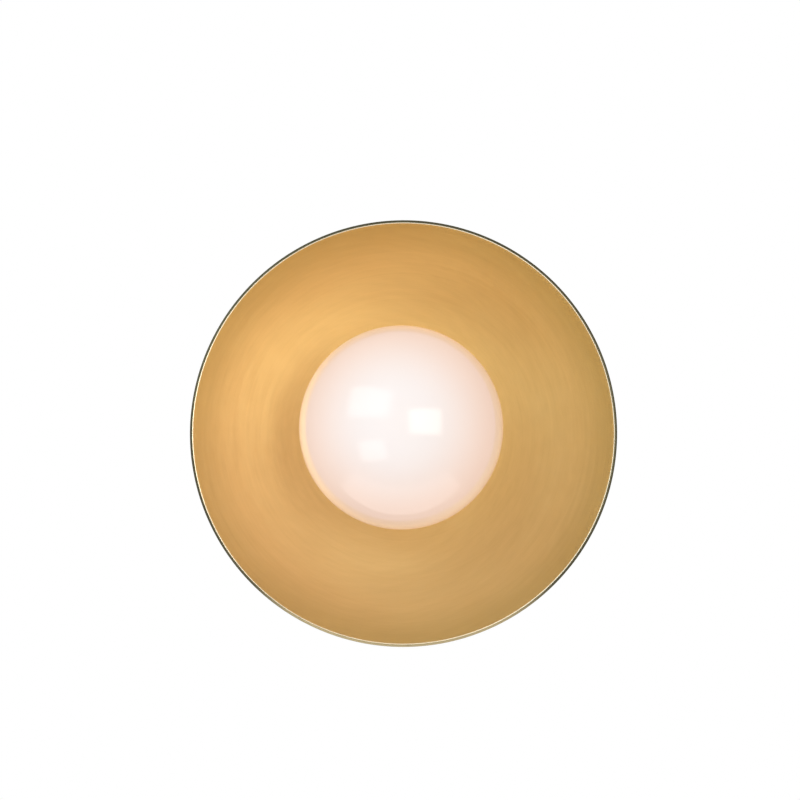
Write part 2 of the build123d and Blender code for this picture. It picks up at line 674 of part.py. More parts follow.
# Lamp base: moulded foot and round collar
with BuildPart() as lamp_base:
    with BuildSketch(FACE.offset(LAMP_BACK)):
        SlotOverall(LAMP_BASE_WIDTH, LAMP_BASE_THICKNESS)
    extrude(amount=LAMP_BASE_LENGTH)
    with BuildSketch(FACE.offset(COLLAR_BACK)):
        Circle(LAMP_COLLAR_DIAMETER / 2)
    extrude(amount=LAMP_COLLAR_HEIGHT)
    fillet(lamp_base.faces().sort_by(Axis.Y)[-1].edges(), LAMP_EDGE)
    with BuildSketch(FACE.offset(LAMP_BACK)):
        with GridLocations(PIN_SPACING, 0, 2, 1):
            Circle(PIN_RADIUS + TAPPED_CLEARANCE)
    extrude(amount=PIN_ROOT, mode=Mode.SUBTRACT)
    with BuildSketch(FACE.offset(ENVELOPE_BACK - BOARD_ROOT)):
        Rectangle(BOARD_WIDTH + 2 * TAPPED_CLEARANCE, BOARD_THICKNESS + 2 * TAPPED_CLEARANCE)
    extrude(amount=BOARD_ROOT, mode=Mode.SUBTRACT)
lamp_base.part.label = "lamp_base"
export_step(lamp_base.part, "parts/lamp_base.step")

# Lamp pins: two wires set in the foot of the base
with BuildPart() as lamp_pins:
    with BuildSketch(FACE.offset(LAMP_BACK - PIN_LENGTH)):
        with GridLocations(PIN_SPACING, 0, 2, 1):
            Circle(PIN_RADIUS)
    extrude(amount=PIN_LENGTH + PIN_ROOT)
    chamfer(lamp_pins.faces().filter_by(Axis.Y).edges(), PIN_POINT)
lamp_pins.part.label = "lamp_pins"
export_step(lamp_pins.part, "parts/lamp_pins.step")

# Lamp envelope: frosted tube with a round end
with BuildPart() as lamp_envelope:
    tube_radius = ENVELOPE_DIAMETER / 2
    dome_centre = ENVELOPE_BACK + ENVELOPE_LENGTH - tube_radius
    tube_length = dome_centre - ENVELOPE_BACK
    with BuildSketch(PROFILE) as tube_section:
        for radius, mode in (
            (tube_radius, Mode.ADD),
            (tube_radius - ENVELOPE_WALL, Mode.SUBTRACT),
        ):
            with Locations((0, dome_centre)):
                Circle(radius, mode=mode)
            with Locations((0, ENVELOPE_BACK)):
                Rectangle(
                    2 * radius, tube_length, align=(Align.CENTER, Align.MIN), mode=mode
                )
        with Locations((-ENVELOPE_LENGTH, dome_centre)):
            Rectangle(2 * ENVELOPE_LENGTH, 2 * ENVELOPE_LENGTH, mode=Mode.SUBTRACT)
    revolve(axis=LIGHT_AXIS)
lamp_envelope.part.label = "lamp_envelope"
export_step(lamp_envelope.part, "parts/lamp_envelope.step")

# Lamp board: strip with the light sources, set in the collar
with BuildPart() as lamp_board:
    with BuildSketch(FACE.offset(ENVELOPE_BACK - BOARD_ROOT)):
        Rectangle(BOARD_WIDTH, BOARD_THICKNESS)
    extrude(amount=BOARD_LENGTH)
lamp_board.part.label = "lamp_board"
export_step(lamp_board.part, "parts/lamp_board.step")

# Terminal block: moulded bar with one open channel for each pole
terminal_well = TERMINAL_SCREW_DIAMETER / 2 + TERMINAL_WELL_CLEARANCE
with BuildPart() as terminal_block:
    with BuildSketch(FACE.offset(BLOCK_BACK)):
        with Locations((0, -BLOCK_MIDDLE)):
            Rectangle(BLOCK_WIDTH, BLOCK_HEIGHT)
    extrude(amount=BLOCK_DEPTH)
    fillet(terminal_block.edges().filter_by(Axis.Y), BLOCK_EDGE)
    with BuildSketch(Plane.XY.offset(-BLOCK_MIDDLE)):
        with Locations((0, -POLE_DISTANCE)):
            with GridLocations(POLE_PITCH, 0, POLE_COUNT, 1):
                Rectangle(POLE_CHANNEL, POLE_CHANNEL)
    extrude(amount=BLOCK_HEIGHT / 2, both=True, mode=Mode.SUBTRACT)
    with BuildSketch(FACE.offset(BLOCK_BACK)):
        with Locations((0, -BLOCK_MIDDLE)):
            with GridLocations(POLE_PITCH, TERMINAL_SCREW_SPACING, POLE_COUNT, 2):
                Circle(terminal_well)
    extrude(amount=POLE_DISTANCE - BLOCK_BACK, mode=Mode.SUBTRACT)
    with BuildSketch(FACE.offset(BLOCK_BACK)):
        with Locations((0, -BLOCK_MIDDLE)):
            with GridLocations(POLE_PITCH, 0, 2, 1):
                Circle(BLOCK_SCREW_HOLE / 2)
    extrude(amount=BLOCK_DEPTH, mode=Mode.SUBTRACT)
terminal_block.part.label = "terminal_block"
export_step(terminal_block.part, "parts/terminal_block.step")

# Terminal inserts: square brass tubes in the channels
with BuildPart() as terminal_inserts:
    with BuildSketch(Plane.XY.offset(-BLOCK_MIDDLE)):
        with Locations((0, -POLE_DISTANCE)):
            with GridLocations(POLE_PITCH, 0, POLE_COUNT, 1):
                Rectangle(INSERT_SIZE, INSERT_SIZE)
                Rectangle(INSERT_PASSAGE, INSERT_PASSAGE, mode=Mode.SUBTRACT)
    extrude(amount=INSERT_LENGTH / 2, both=True)
    with BuildSketch(FACE.offset(POLE_DISTANCE)):
        with Locations((0, -BLOCK_MIDDLE)):
            with GridLocations(POLE_PITCH, TERMINAL_SCREW_SPACING, POLE_COUNT, 2):
                Circle(TERMINAL_SCREW_DIAMETER / 2 + TAPPED_CLEARANCE)
    extrude(amount=-INSERT_SIZE / 2, mode=Mode.SUBTRACT)
terminal_inserts.part.label = "terminal_inserts"
export_step(terminal_inserts.part, "parts/terminal_inserts.step")

# Terminal screws: two in each insert, sunk in the wells of the block
with BuildPart() as terminal_screws:
    screw_back = BLOCK_BACK + TERMINAL_SCREW_SUNK
    screw_tip = POLE_DISTANCE - INSERT_PASSAGE / 2
    with BuildSketch(FACE.offset(screw_back)):
        with Locations((0, -BLOCK_MIDDLE)):
            with GridLocations(POLE_PITCH, TERMINAL_SCREW_SPACING, POLE_COUNT, 2):
                Circle(TERMINAL_SCREW_DIAMETER / 2)
    extrude(amount=screw_tip - screw_back)
    with BuildSketch(FACE.offset(screw_back)):
        with Locations((0, -BLOCK_MIDDLE)):
            with GridLocations(POLE_PITCH, TERMINAL_SCREW_SPACING, POLE_COUNT, 2):
                Rectangle(TERMINAL_SCREW_DIAMETER, DRIVER_SLOT_WIDTH / 2)
    extrude(amount=DRIVER_SLOT_DEPTH, mode=Mode.SUBTRACT)
terminal_screws.part.label = "terminal_screws"
export_step(terminal_screws.part, "parts/terminal_screws.step")

# Terminal block screws: from the wall side through the block into the pan
block_screw = slotted_screw(
    SMALL_SCREW_DIAMETER, BLOCK_DEPTH + PAN_SHEET, SMALL_HEAD_DIAMETER, SMALL_HEAD_HEIGHT
)
with BuildPart() as terminal_block_screws:
    for side in (-1, 1):
        with Locations(
            Location(room(side * POLE_PITCH / 2, BLOCK_BACK, -BLOCK_MIDDLE), (0, 0, 180))
        ):
            add(block_screw)
terminal_block_screws.part.label = "terminal_block_screws"
export_step(terminal_block_screws.part, "parts/terminal_block_screws.step")

# Live and neutral leads: from the holder through the grommet to the block
lead_turn = STUD_FRONT - STUD_PROUD
lead_start = HOLDER_BACK + LEAD_ENTRY
lead_level = BLOCK_TOP - LEAD_LEVEL
lead_end = BLOCK_TOP + LEAD_ENTRY
with BuildPart() as live_lead:
    lead(
        (
            room(-PIN_SPACING / 2, lead_start, 0),
            room(-PIN_SPACING / 2, HOLDER_BACK - LEAD_DROP, 0),
            room(-LEAD_SPACING / 2, lead_turn, -GROMMET_OFFSET),
            room(-LEAD_SPACING / 2, POLE_DISTANCE, -GROMMET_OFFSET),
            room(-POLE_PITCH, POLE_DISTANCE, -lead_level),
            room(-POLE_PITCH, POLE_DISTANCE, -lead_end),
        ),
        (LEAD_BEND, LEAD_BEND, LEAD_TIGHT_BEND, LEAD_TIGHT_BEND),
    )
live_lead.part.label = "live_lead"
export_step(live_lead.part, "parts/live_lead.step")

with BuildPart() as neutral_lead:
    lead(
        (
            room(PIN_SPACING / 2, lead_start, 0),
            room(PIN_SPACING / 2, HOLDER_BACK - LEAD_DROP, 0),
            room(LEAD_SPACING / 2, lead_turn, -GROMMET_OFFSET),
            room(LEAD_SPACING / 2, POLE_DISTANCE, -GROMMET_OFFSET),
            room(0, POLE_DISTANCE, -lead_level),
            room(0, POLE_DISTANCE, -lead_end),
        ),
        (LEAD_BEND, LEAD_BEND, LEAD_TIGHT_BEND, LEAD_TIGHT_BEND),
    )
neutral_lead.part.label = "neutral_lead"
export_step(neutral_lead.part, "parts/neutral_lead.step")

# Earth lug: ring terminal under a body nut, its barrel turned to the earth pole
toward_across = POLE_PITCH - earth_across
toward_height = earth_height + lead_level
toward_length = hypot(toward_across, toward_height)
toward = Vector(toward_across / toward_length, 0, -toward_height / toward_length)
earth_screw_point = Vector(*room(earth_across, PAN_INSIDE, earth_height))
barrel_distance = PAN_INSIDE - BARREL_DIAMETER / 2 - BARREL_LIFT
barrel_point = Vector(*room(earth_across, barrel_distance, earth_height))
with BuildPart() as earth_lug:
    with BuildSketch(Plane(earth_screw_point, x_dir=toward, z_dir=(0, -1, 0))):
        Circle(RING_DIAMETER / 2)
        Rectangle(BARREL_START + BARREL_LENGTH / 2, RING_TONGUE, align=(Align.MIN, Align.CENTER))
        Circle(SCREW_DIAMETER / 2 + HOLE_CLEARANCE, mode=Mode.SUBTRACT)
    extrude(amount=-RING_SHEET)
    with BuildSketch(Plane(barrel_point + toward * BARREL_START, z_dir=toward)):
        Circle(BARREL_DIAMETER / 2)
    extrude(amount=BARREL_LENGTH)
    with BuildSketch(Plane(barrel_point + toward * BARREL_START, z_dir=toward)):
        Circle(LEAD_RADIUS + BARREL_FIT)
    extrude(amount=BARREL_LENGTH, mode=Mode.SUBTRACT)
earth_lug.part.label = "earth_lug"
export_step(earth_lug.part, "parts/earth_lug.step")

# Earth lead: from the barrel of the lug to the earth pole of the block
with BuildPart() as earth_lead:
    lead(
        (
            barrel_point + toward * (BARREL_START + BARREL_LENGTH / 2),
            barrel_point + toward * EARTH_TURN,
            room(POLE_PITCH, POLE_DISTANCE, -lead_level),
            room(POLE_PITCH, POLE_DISTANCE, -lead_end),
        ),
        (LEAD_TIGHT_BEND, LEAD_TIGHT_BEND),
    )
earth_lead.part.label = "earth_lead"
export_step(earth_lead.part, "parts/earth_lead.step")
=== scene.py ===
from math import acos, asin, cos, degrees, pi, radians, sin, sqrt

import bpy
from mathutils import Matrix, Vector


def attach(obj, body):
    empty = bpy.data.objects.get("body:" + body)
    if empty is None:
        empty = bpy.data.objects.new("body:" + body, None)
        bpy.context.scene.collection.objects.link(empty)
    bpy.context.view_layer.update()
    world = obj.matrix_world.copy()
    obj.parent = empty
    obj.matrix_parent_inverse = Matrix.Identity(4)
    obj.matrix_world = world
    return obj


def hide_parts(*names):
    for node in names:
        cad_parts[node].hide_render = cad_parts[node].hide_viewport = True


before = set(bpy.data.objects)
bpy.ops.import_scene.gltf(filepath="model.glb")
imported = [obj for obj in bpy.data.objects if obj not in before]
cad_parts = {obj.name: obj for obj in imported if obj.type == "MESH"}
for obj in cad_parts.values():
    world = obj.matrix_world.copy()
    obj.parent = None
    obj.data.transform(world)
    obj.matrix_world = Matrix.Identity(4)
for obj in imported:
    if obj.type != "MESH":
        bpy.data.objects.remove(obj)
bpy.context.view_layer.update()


# Wall crossbar: the strap that is screwed to the wall box. Bent from 2 mm steel sheet and
# zinc plated in a barrel, so its skin is a little cloudy, with a fine grain.
ZINC_TONES = (0.44, 0.46, 0.48, 1), (0.62, 0.61, 0.57, 1)


class Amount:
    """A number of a finish that changes over the surface. Its sums add maths nodes."""

    def __init__(self, finish, socket):
        self.finish = finish
        self.socket = socket

    def maths(self, operation, first, second):
        return self.finish.node("ShaderNodeMath", {"operation": operation}, {0: first, 1: second})

    def __add__(self, other):
        return self.maths("ADD", self, other)

    def __radd__(self, other):
        return self.maths("ADD", other, self)

    def __sub__(self, other):
        return self.maths("SUBTRACT", self, other)

    def __mul__(self, other):
        return self.maths("MULTIPLY", self, other)

    def __rmul__(self, other):
        return self.maths("MULTIPLY", other, self)

    def __truediv__(self, other):
        return self.maths("DIVIDE", self, other)

    def __pow__(self, other):
        return self.maths("POWER", self, other)


class Finish:
    """A material that is built from the place of each point on the piece, in metres."""

    MIX_SHARE, MIX_FIRST, MIX_SECOND, MIX_COLOUR = 0, 6, 7, 2
    BUMP_DEPTH = 0.0001
    OFF_AXIS = 0.0001

    def __init__(self, name, constants):
        self.material = bpy.data.materials.new(name)
        self.material.use_nodes = True
        self.tree = self.material.node_tree
        self.shader = self.tree.nodes["Principled BSDF"]
        for socket, value in constants.items():
            self.shader.inputs[socket].default_value = value
        self.place = self.node("ShaderNodeTexCoord", {}, {}, "Object")

    def node(self, kind, settings, inputs, output=0):
        """Adds a node, sets or links its inputs and gives one of its outputs."""
        made = self.tree.nodes.new(kind)
        for setting, value in settings.items():
            setattr(made, setting, value)
        for socket, value in inputs.items():
            if isinstance(value, Amount):
                self.tree.links.new(value.socket, made.inputs[socket])
            else:
                made.inputs[socket].default_value = value
        return Amount(self, made.outputs[output])

    def axes(self):
        return [self.node("ShaderNodeSeparateXYZ", {}, {0: self.place}, axis) for axis in "XYZ"]

    def vector(self, *parts):
        return self.node("ShaderNodeCombineXYZ", {}, dict(enumerate(parts)))

    def noise(self, scale, detail=2.0, where=None):
        """Noise with a scale in waves per metre."""
        sockets = {"Vector": where or self.place, "Scale": scale, "Detail": detail}
        return self.node("ShaderNodeTexNoise", {}, sockets, "Fac")

    def fade(self, value, low, high):
        """Rises smoothly from 0 to 1 while the value goes from low to high."""
        sockets = {"Value": value, "From Min": low, "From Max": high}
        return self.node("ShaderNodeMapRange", {"interpolation_type": "SMOOTHSTEP"}, sockets)

    def mix(self, share, first, second, blend="MIX"):
        settings = {"data_type": "RGBA", "blend_type": blend}
        sockets = {self.MIX_SHARE: share, self.MIX_FIRST: first, self.MIX_SECOND: second}
        return self.node("ShaderNodeMix", settings, sockets, self.MIX_COLOUR)

    def rings(self, across, around, detail=2.0):
        """Noise drawn out into circles about the axis of the light."""
        x, y, z = self.axes()
        radius = (x * x + z * z) ** 0.5 + self.OFF_AXIS
        turned = self.vector(x / radius * around, y * across, z / radius * around)
        drawn = self.vector(radius * across, 0.0, 0.0)
        where = self.node("ShaderNodeVectorMath", {"operation": "ADD"}, {0: turned, 1: drawn})
        return self.noise(1.0, detail, where)

    def feed(self, socket, amount):
        self.tree.links.new(amount.socket, self.shader.inputs[socket])

    def bump(self, height, strength):
        sockets = {"Height": height, "Strength": strength, "Distance": self.BUMP_DEPTH}
        self.feed("Normal", self.node("ShaderNodeBump", {}, sockets))


def paint(finish, *nodes):
    """Gives a finish to pieces that are carried over from the CAD."""
    for node in nodes:
        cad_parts[node].material_slots[0].material = finish.material


zinc = Finish("zinc_plate", {"Metallic": 1.0})
cloud = zinc.noise(scale=90.0, detail=4.0)
grain = zinc.noise(scale=1400.0, detail=2.0)
zinc.feed("Base Color", zinc.mix(cloud, *ZINC_TONES))
zinc.feed("Roughness", 0.24 + 0.14 * cloud + 0.12 * grain)
zinc.bump(grain, strength=0.25)
paint(zinc, "wall_crossbar")


# Stud, stud nuts and split washer: turned and pressed steel in the same zinc plate. The nuts
# lock the stud to the raised middle of the crossbar.
paint(zinc, "centre_stud", "stud_nuts", "stud_washer")


# Earth screw: steel screw in the crossbar for the earth wire of the supply. Lacquered green,
# which marks it as the earth.
GREEN_TONES = (0.03, 0.20, 0.06, 1), (0.06, 0.34, 0.11, 1)

green = Finish("green_lacquer", {"Metallic": 0.55, "Roughness": 0.34, "Coat Weight": 0.3})
green_cloud = green.noise(scale=500.0, detail=3.0)
green.feed("Base Color", green.mix(green_cloud, *GREEN_TONES))
green.bump(green_cloud, strength=0.2)
paint(green, "earth_screw")


# Back pan: the cover over the wall box, spun from steel and finished in dark bronze. The
# spinning tool leaves shallow rings.
BRONZE_TONES = (0.060, 0.053, 0.032, 1), (0.115, 0.098, 0.056, 1)

bronze = Finish("dark_bronze", {"Metallic": 1.0})
bronze_rings = bronze.rings(across=1500.0, around=2.0)
bronze_cloud = bronze.noise(scale=38.0, detail=5.0)
bronze.feed("Base Color", bronze.mix(bronze_cloud, *BRONZE_TONES))
bronze.feed("Roughness", 0.30 + 0.10 * bronze_cloud + 0.10 * bronze_rings)
bronze.bump(bronze_rings, strength=0.18)
paint(bronze, "back_pan")


# Dish: spun from 1.5 mm brass sheet, its edge rolled back over a bead and its cut edge laid
# against the back. Brushed round the axis inside, polished on the inner part of the bead, dark
# bronze outside and on the outer part of the bead. The dark line this draws round the rim is
# partly the outside's colour and partly painted shade.
MM = 0.001
MERGE_GAP = 0.001 * MM
SPIN_STEPS = 240
FRONT_STEPS = 56
BEAD_STEPS = 36
BACK_STEPS = 48
HOLE_SIDES = 48
SMOOTH_ANGLE = 40
DISH_FLOOR_FRONT = 21.5
DISH_SHEET = 1.5
DISH_SEAT = 48.9
SEAT_MARGIN = 2
STUD_HOLE = 4.25
SCREW_HOLE = 2.25
SCREW_CIRCLE = 32.0
SCREW_ANGLES = (90, 210, 330)
LEAD_HOLE = 4.44
LEAD_HOLE_DROP = 20.0
CUT_LENGTH = 4 * DISH_SHEET
DISH_CURVE = 163.07
BEAD_CENTRE = (151.0, 55.5)
BEAD_RADIUS = 1.5
BEAD_TURN = 270
HEM_GAP = 0.22
HEM_DEPTH = 0.9
RIM_SHADE_FROM = 150.5
FACE_MARGIN = 0.05
EDGE_SLOT = 1
OUTSIDE_SLOT = 2


def arc(centre, radius, start, end, count):
    """Points of (radius, distance) on an arc, with its angles in degrees."""
    turns = [radians(start + (end - start) * step / count) for step in range(count + 1)]
    return [(centre[0] + radius * cos(a), centre[1] + radius * sin(a)) for a in turns]


def drawn(name, places):
    """A closed wire through the given places, which a vertex is extruded along."""
    bpy.ops.object.select_all(action="DESELECT")
    bpy.ops.mesh.primitive_plane_add(size=MM)
    piece = bpy.context.object
    piece.name = piece.data.name = name
    bpy.ops.object.mode_set(mode="EDIT")
    bpy.ops.mesh.select_all(action="SELECT")
    bpy.ops.mesh.merge(type="CENTER")
    bpy.ops.transform.translate(value=places[0])
    for last, place in zip(places, places[1:] + places[:1]):
        bpy.ops.mesh.extrude_region_move(TRANSFORM_OT_translate={"value": place - last})
    bpy.ops.mesh.select_all(action="SELECT")
    bpy.ops.mesh.remove_doubles(threshold=MERGE_GAP)
    return piece


def turned(name, outline):
    """A piece that is spun about the axis of the light from a closed outline in millimetres."""
    places = [Vector((radius * MM, -distance * MM, 0.0)) for radius, distance in outline]
    piece = drawn(name, places)
    bpy.ops.mesh.spin(steps=SPIN_STEPS, angle=2 * pi, center=(0, 0, 0), axis=(0, 1, 0))
    bpy.ops.mesh.select_all(action="SELECT")
    bpy.ops.mesh.remove_doubles(threshold=MERGE_GAP)
    bpy.ops.mesh.normals_make_consistent(inside=False)
    bpy.ops.object.mode_set(mode="OBJECT")
    return piece


def combine(piece, tool, operation):
    """Cuts a tool out of a piece or joins it on, and takes the tool away."""
    change = piece.modifiers.new(operation.lower(), "BOOLEAN")
    change.operation = operation
    change.solver = "EXACT"
    change.object = tool
    bpy.context.view_layer.objects.active = piece
    bpy.ops.object.modifier_apply(modifier=change.name)
    bpy.data.objects.remove(tool)


def smooth(piece):
    """Shades a piece smooth, and keeps its sharp edges."""
    bpy.ops.object.select_all(action="DESELECT")
    piece.select_set(True)
    bpy.ops.object.shade_smooth_by_angle(angle=radians(SMOOTH_ANGLE))


curve_centre = (DISH_SEAT, DISH_FLOOR_FRONT + DISH_CURVE)
reach_across = BEAD_CENTRE[0] - curve_centre[0]
reach_back = curve_centre[1] - BEAD_CENTRE[1]
rim_angle = degrees(acos(reach_back / sqrt(reach_across**2 + reach_back**2)))
hem_turn = degrees(HEM_GAP / BEAD_RADIUS)
hem_angle = rim_angle - degrees(2 * asin(BEAD_RADIUS / 2 / (DISH_CURVE + DISH_SHEET)))
bead_start = rim_angle + 90
bead_end = bead_start - BEAD_TURN
dish_back = DISH_FLOOR_FRONT - DISH_SHEET
floor_edge = DISH_SEAT - SEAT_MARGIN
front_curve = arc(curve_centre, DISH_CURVE, -90, rim_angle - 90, FRONT_STEPS)
bead_curve = arc(BEAD_CENTRE, BEAD_RADIUS, bead_start, bead_end + hem_turn, BEAD_STEPS)
hem_inside = arc(BEAD_CENTRE, BEAD_RADIUS - HEM_DEPTH, bead_end + hem_turn, bead_end, 1)
back_curve = arc(curve_centre, DISH_CURVE + DISH_SHEET, hem_angle - 90, -90, BACK_STEPS)
dish = turned(
    "dish_shell",
    [(STUD_HOLE, DISH_FLOOR_FRONT), (floor_edge, DISH_FLOOR_FRONT)]
    + front_curve
    + bead_curve[1:]
    + hem_inside
    + back_curve
    + [(floor_edge, dish_back), (STUD_HOLE, dish_back)],
)
holes = [(LEAD_HOLE, 0.0, -LEAD_HOLE_DROP)]
for angle in SCREW_ANGLES:
    across, up = SCREW_CIRCLE * cos(radians(angle)), SCREW_CIRCLE * sin(radians(angle))
    holes.append((SCREW_HOLE, across, up))
for hole, across, up in holes:
    bpy.ops.object.select_all(action="DESELECT")
    bpy.ops.mesh.primitive_cylinder_add(
        vertices=HOLE_SIDES,
        radius=hole * MM,
        depth=CUT_LENGTH * MM,
        location=(across * MM, -(DISH_FLOOR_FRONT - DISH_SHEET / 2) * MM, up * MM),
        rotation=(pi / 2, 0, 0),
    )
    combine(dish, bpy.context.object, "DIFFERENCE")
smooth(dish)

# Painted shade and reflection: the brass darkens towards the rim as painted shade, and a painted
# reflection tint makes it more olive towards the lower right and yellower at the top.
# The drop brings the middle of its summed lines back to a half.
BRASS_OPEN_TONES = (0.732, 0.525, 0.222, 1), (0.890, 0.644, 0.286, 1)
BRASS_RIM_SHADE_TONES = (0.612, 0.462, 0.189, 1), (0.748, 0.568, 0.243, 1)
FINE_SHARE = 0.35
BROAD_SHARE = 0.35
STREAK_SHARE = 0.55
CLOUD_SHARE = 0.20
TONE_DROP = 0.225
RIM_SHADE_ZONE = (0.122, 0.152)
REFLECTION_TINT_RIGHT = 0.82
REFLECTION_TINT_DOWN = 0.57
REFLECTION_TINT_ZONE = (-0.13, 0.13)
LOWER_RIGHT_REFLECTION_TINT = (0.90, 1.0, 1.04, 1)
HEIGHT_REFLECTION_ZONE = (0.14, -0.14)
HEIGHT_REFLECTION_TINTS = (1.0, 1.0, 0.91, 1), (0.985, 1.0, 1.10, 1)

brass = Finish("satin_brass", {"Metallic": 1.0})
fine_lines = brass.rings(across=5200.0, around=2.4, detail=1.0)
broad_lines = brass.rings(across=700.0, around=0.9, detail=2.0)
streaks = brass.rings(across=240.0, around=7.0, detail=3.0)
brass_cloud = brass.noise(scale=16.0, detail=4.0)
brass_lines = FINE_SHARE * fine_lines + BROAD_SHARE * broad_lines + STREAK_SHARE * streaks
brass_tone = brass_lines + CLOUD_SHARE * brass_cloud - TONE_DROP
brass_x, _, brass_z = brass.axes()
# Painted shade: towards the rim the brass turns to its darker tones.
painted_rim_shade = brass.fade((brass_x * brass_x + brass_z * brass_z) ** 0.5, *RIM_SHADE_ZONE)
brass_open = brass.mix(brass_tone, *BRASS_OPEN_TONES)
brass_rim_shade = brass.mix(brass_tone, *BRASS_RIM_SHADE_TONES)
brass_body = brass.mix(painted_rim_shade, brass_open, brass_rim_shade)
# Painted reflection: a tint makes the brass more olive towards the lower right and yellower at the
# top.
painted_lower_right_reflection = brass.fade(REFLECTION_TINT_RIGHT * brass_x - REFLECTION_TINT_DOWN * brass_z, *REFLECTION_TINT_ZONE)
brass_reflection_tinted = brass.mix(painted_lower_right_reflection, brass_body, LOWER_RIGHT_REFLECTION_TINT, "MULTIPLY")
painted_height_reflection = brass.mix(brass.fade(brass_z, *HEIGHT_REFLECTION_ZONE), *HEIGHT_REFLECTION_TINTS)
brass.feed("Base Color", brass.mix(1.0, brass_reflection_tinted, painted_height_reflection, "MULTIPLY"))
brass.feed("Roughness", 0.26 + 0.06 * broad_lines + 0.04 * brass_cloud)
brass.bump(fine_lines, strength=0.35)

EDGE_TONES = (0.80, 0.72, 0.54, 1), (0.90, 0.82, 0.64, 1)

edge = Finish("polished_brass_edge", {"Metallic": 1.0})
edge_lines = edge.rings(across=2500.0, around=3.0)
edge.feed("Base Color", edge.mix(edge_lines, *EDGE_TONES))
edge.feed("Roughness", 0.32 + 0.10 * edge_lines)

# Painted light: in patches along the lower rim the dark outside turns tan, a painted reflection of
# light from below.
OUTSIDE_TONES = (0.042, 0.038, 0.023, 1), (0.108, 0.097, 0.058, 1)
OUTSIDE_GLANCE = (0.44, 0.39, 0.23, 1)
LOW_RIM_LIGHT_TAN = (0.34, 0.275, 0.160, 1)
LOW_RIM_LIGHT_HEIGHT = (-0.105, -0.140)
LOW_RIM_LIGHT_FRONT = (-0.0525, -0.0555)
LOW_RIM_LIGHT_PATCHES = (0.10, 0.45)

outside = Finish("dark_bronze_outside", {"Metallic": 1.0, "Specular Tint": OUTSIDE_GLANCE})
outside_rings = outside.rings(across=1500.0, around=2.0)
outside_cloud = outside.noise(scale=30.0, detail=5.0)
_, outside_y, outside_z = outside.axes()
# Painted reflection: the tan patches along the lower rim stand for light from below.
light_low = outside.fade(outside_z, *LOW_RIM_LIGHT_HEIGHT)
light_at_rim = outside.fade(outside_y, *LOW_RIM_LIGHT_FRONT)
painted_low_rim_light = light_low * light_at_rim * outside.fade(outside.noise(scale=60.0, detail=4.0), *LOW_RIM_LIGHT_PATCHES)
outside_lines = outside.rings(across=420.0, around=1.2, detail=3.0)
outside_dark = outside.mix(0.5 * outside_cloud + 0.5 * outside_lines, *OUTSIDE_TONES)
outside.feed("Base Color", outside.mix(painted_low_rim_light, outside_dark, LOW_RIM_LIGHT_TAN))
outside.feed("Roughness", 0.28 + 0.12 * outside_cloud + 0.08 * outside_rings)
outside.bump(outside_rings, strength=0.18)

for finish in (brass, edge, outside):
    dish.data.materials.append(finish.material)
# The outer part of the bead takes the dark outside finish: the dark line it draws round the rim is
# partly the outside's colour and partly painted shade.
for face in dish.data.polygons:
    across = sqrt(face.center.x**2 + face.center.z**2) / MM
    distance = -face.center.y / MM
    from_curve = sqrt((across - curve_centre[0]) ** 2 + (distance - curve_centre[1]) ** 2)
    if across > RIM_SHADE_FROM or from_curve > DISH_CURVE + DISH_SHEET / 2 and across > DISH_SEAT:
        face.material_index = OUTSIDE_SLOT
    elif distance > front_curve[-1][1] - FACE_MARGIN:
        face.material_index = EDGE_SLOT
    elif across <= DISH_SEAT and distance < DISH_FLOOR_FRONT - FACE_MARGIN:
        face.material_index = OUTSIDE_SLOT
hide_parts("dish")
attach(dish, "fixture")


# Glass fitter: spun brass cup with a rolled lip and three pressed lugs, brushed like the dish.
# The screws that hold it also hold dish and pan together.
paint(brass, "glass_fitter")


# Body screws and nuts: zinc plated steel machine screws and hexagon nuts. They go through
# fitter, dish and pan, and clamp the three together.
paint(zinc, "body_screws", "body_nuts")


# Lead grommet: moulded black rubber sleeve, which snaps into the holes of fitter, dish and
# pan and keeps their edges off the leads.
RUBBER_TONES = (0.016, 0.016, 0.017, 1), (0.04, 0.04, 0.039, 1)

rubber = Finish("black_rubber", {"Metallic": 0.0})
rubber_grain = rubber.noise(scale=2200.0, detail=3.0)
rubber.feed("Base Color", rubber.mix(rubber_grain, *RUBBER_TONES))
rubber.feed("Roughness", 0.55 + 0.25 * rubber_grain)
rubber.bump(rubber_grain, strength=0.3)
paint(rubber, "lead_grommet")


# Lampholder bracket with its washer and nut: bent steel strip on the stud, zinc plated. The
# nut clamps the whole light to the wall.
paint(zinc, "lampholder_bracket", "clamp_washer", "clamp_nut")


# Lampholder: pressed and fired ceramic, unglazed, with fine dark specks and a dry skin. Two
# zinc plated screws hold it to the bracket.
CERAMIC_TONES = (0.78, 0.76, 0.71, 1), (0.88, 0.87, 0.83, 1)
CERAMIC_SPECK = (0.35, 0.30, 0.25, 1)
SPECK_ZONE = (0.66, 0.72)
SPECK_SHARE = 0.5

ceramic = Finish("fired_ceramic", {"Metallic": 0.0})
specks = ceramic.fade(ceramic.noise(scale=1700.0, detail=1.0), *SPECK_ZONE)
ceramic_cloud = ceramic.noise(scale=160.0, detail=4.0)
ceramic_body = ceramic.mix(ceramic_cloud, *CERAMIC_TONES)
ceramic.feed("Base Color", ceramic.mix(SPECK_SHARE * specks, ceramic_body, CERAMIC_SPECK))
ceramic.feed("Roughness", 0.50 + 0.2 * ceramic_cloud)
ceramic.bump(ceramic.noise(scale=2600.0, detail=3.0), strength=0.25)
paint(ceramic, "lampholder")
paint(zinc, "lampholder_screws")


# Lampholder contacts and terminal inserts: bright brass, stamped and sawn, with tool marks.
# They sit in the ceramic and in the terminal block.
CONTACT_TONES = (0.66, 0.48, 0.20, 1), (0.82, 0.64, 0.32, 1)

